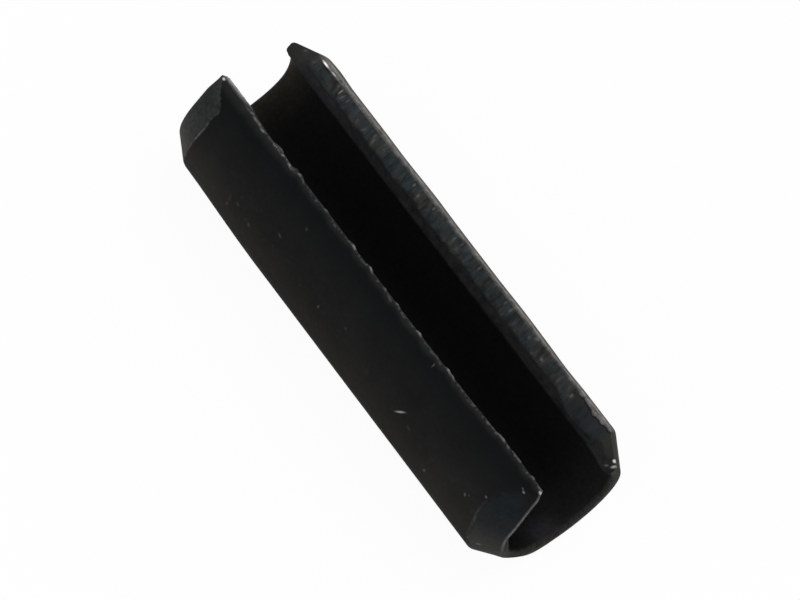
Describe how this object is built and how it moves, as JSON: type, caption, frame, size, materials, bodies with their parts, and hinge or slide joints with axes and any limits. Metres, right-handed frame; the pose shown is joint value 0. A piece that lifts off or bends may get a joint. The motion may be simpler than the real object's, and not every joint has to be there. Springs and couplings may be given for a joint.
{
  "type": "slotted spring roll pin",
  "caption": "C-section spring pin rolled from steel strip, with a wide open slot along its length and blunt swaged cones at both ends, black finish.",
  "frame": {"origin": "middle of the pin's own axis, half way between its ends", "axes": "+X along the pin's axis, towards the end with the longer cone; +Z out of the middle of the slot, which is straight up as the pin lies at rest"},
  "size_m": [0.0198, 0.0066, 0.006],
  "materials": {
    "black_oxide_steel": "black oxide, satin, lightly oiled"
  },
  "bodies": {
    "root": {"spring_pin": "black_oxide_steel"}
  },
  "joints": []
}
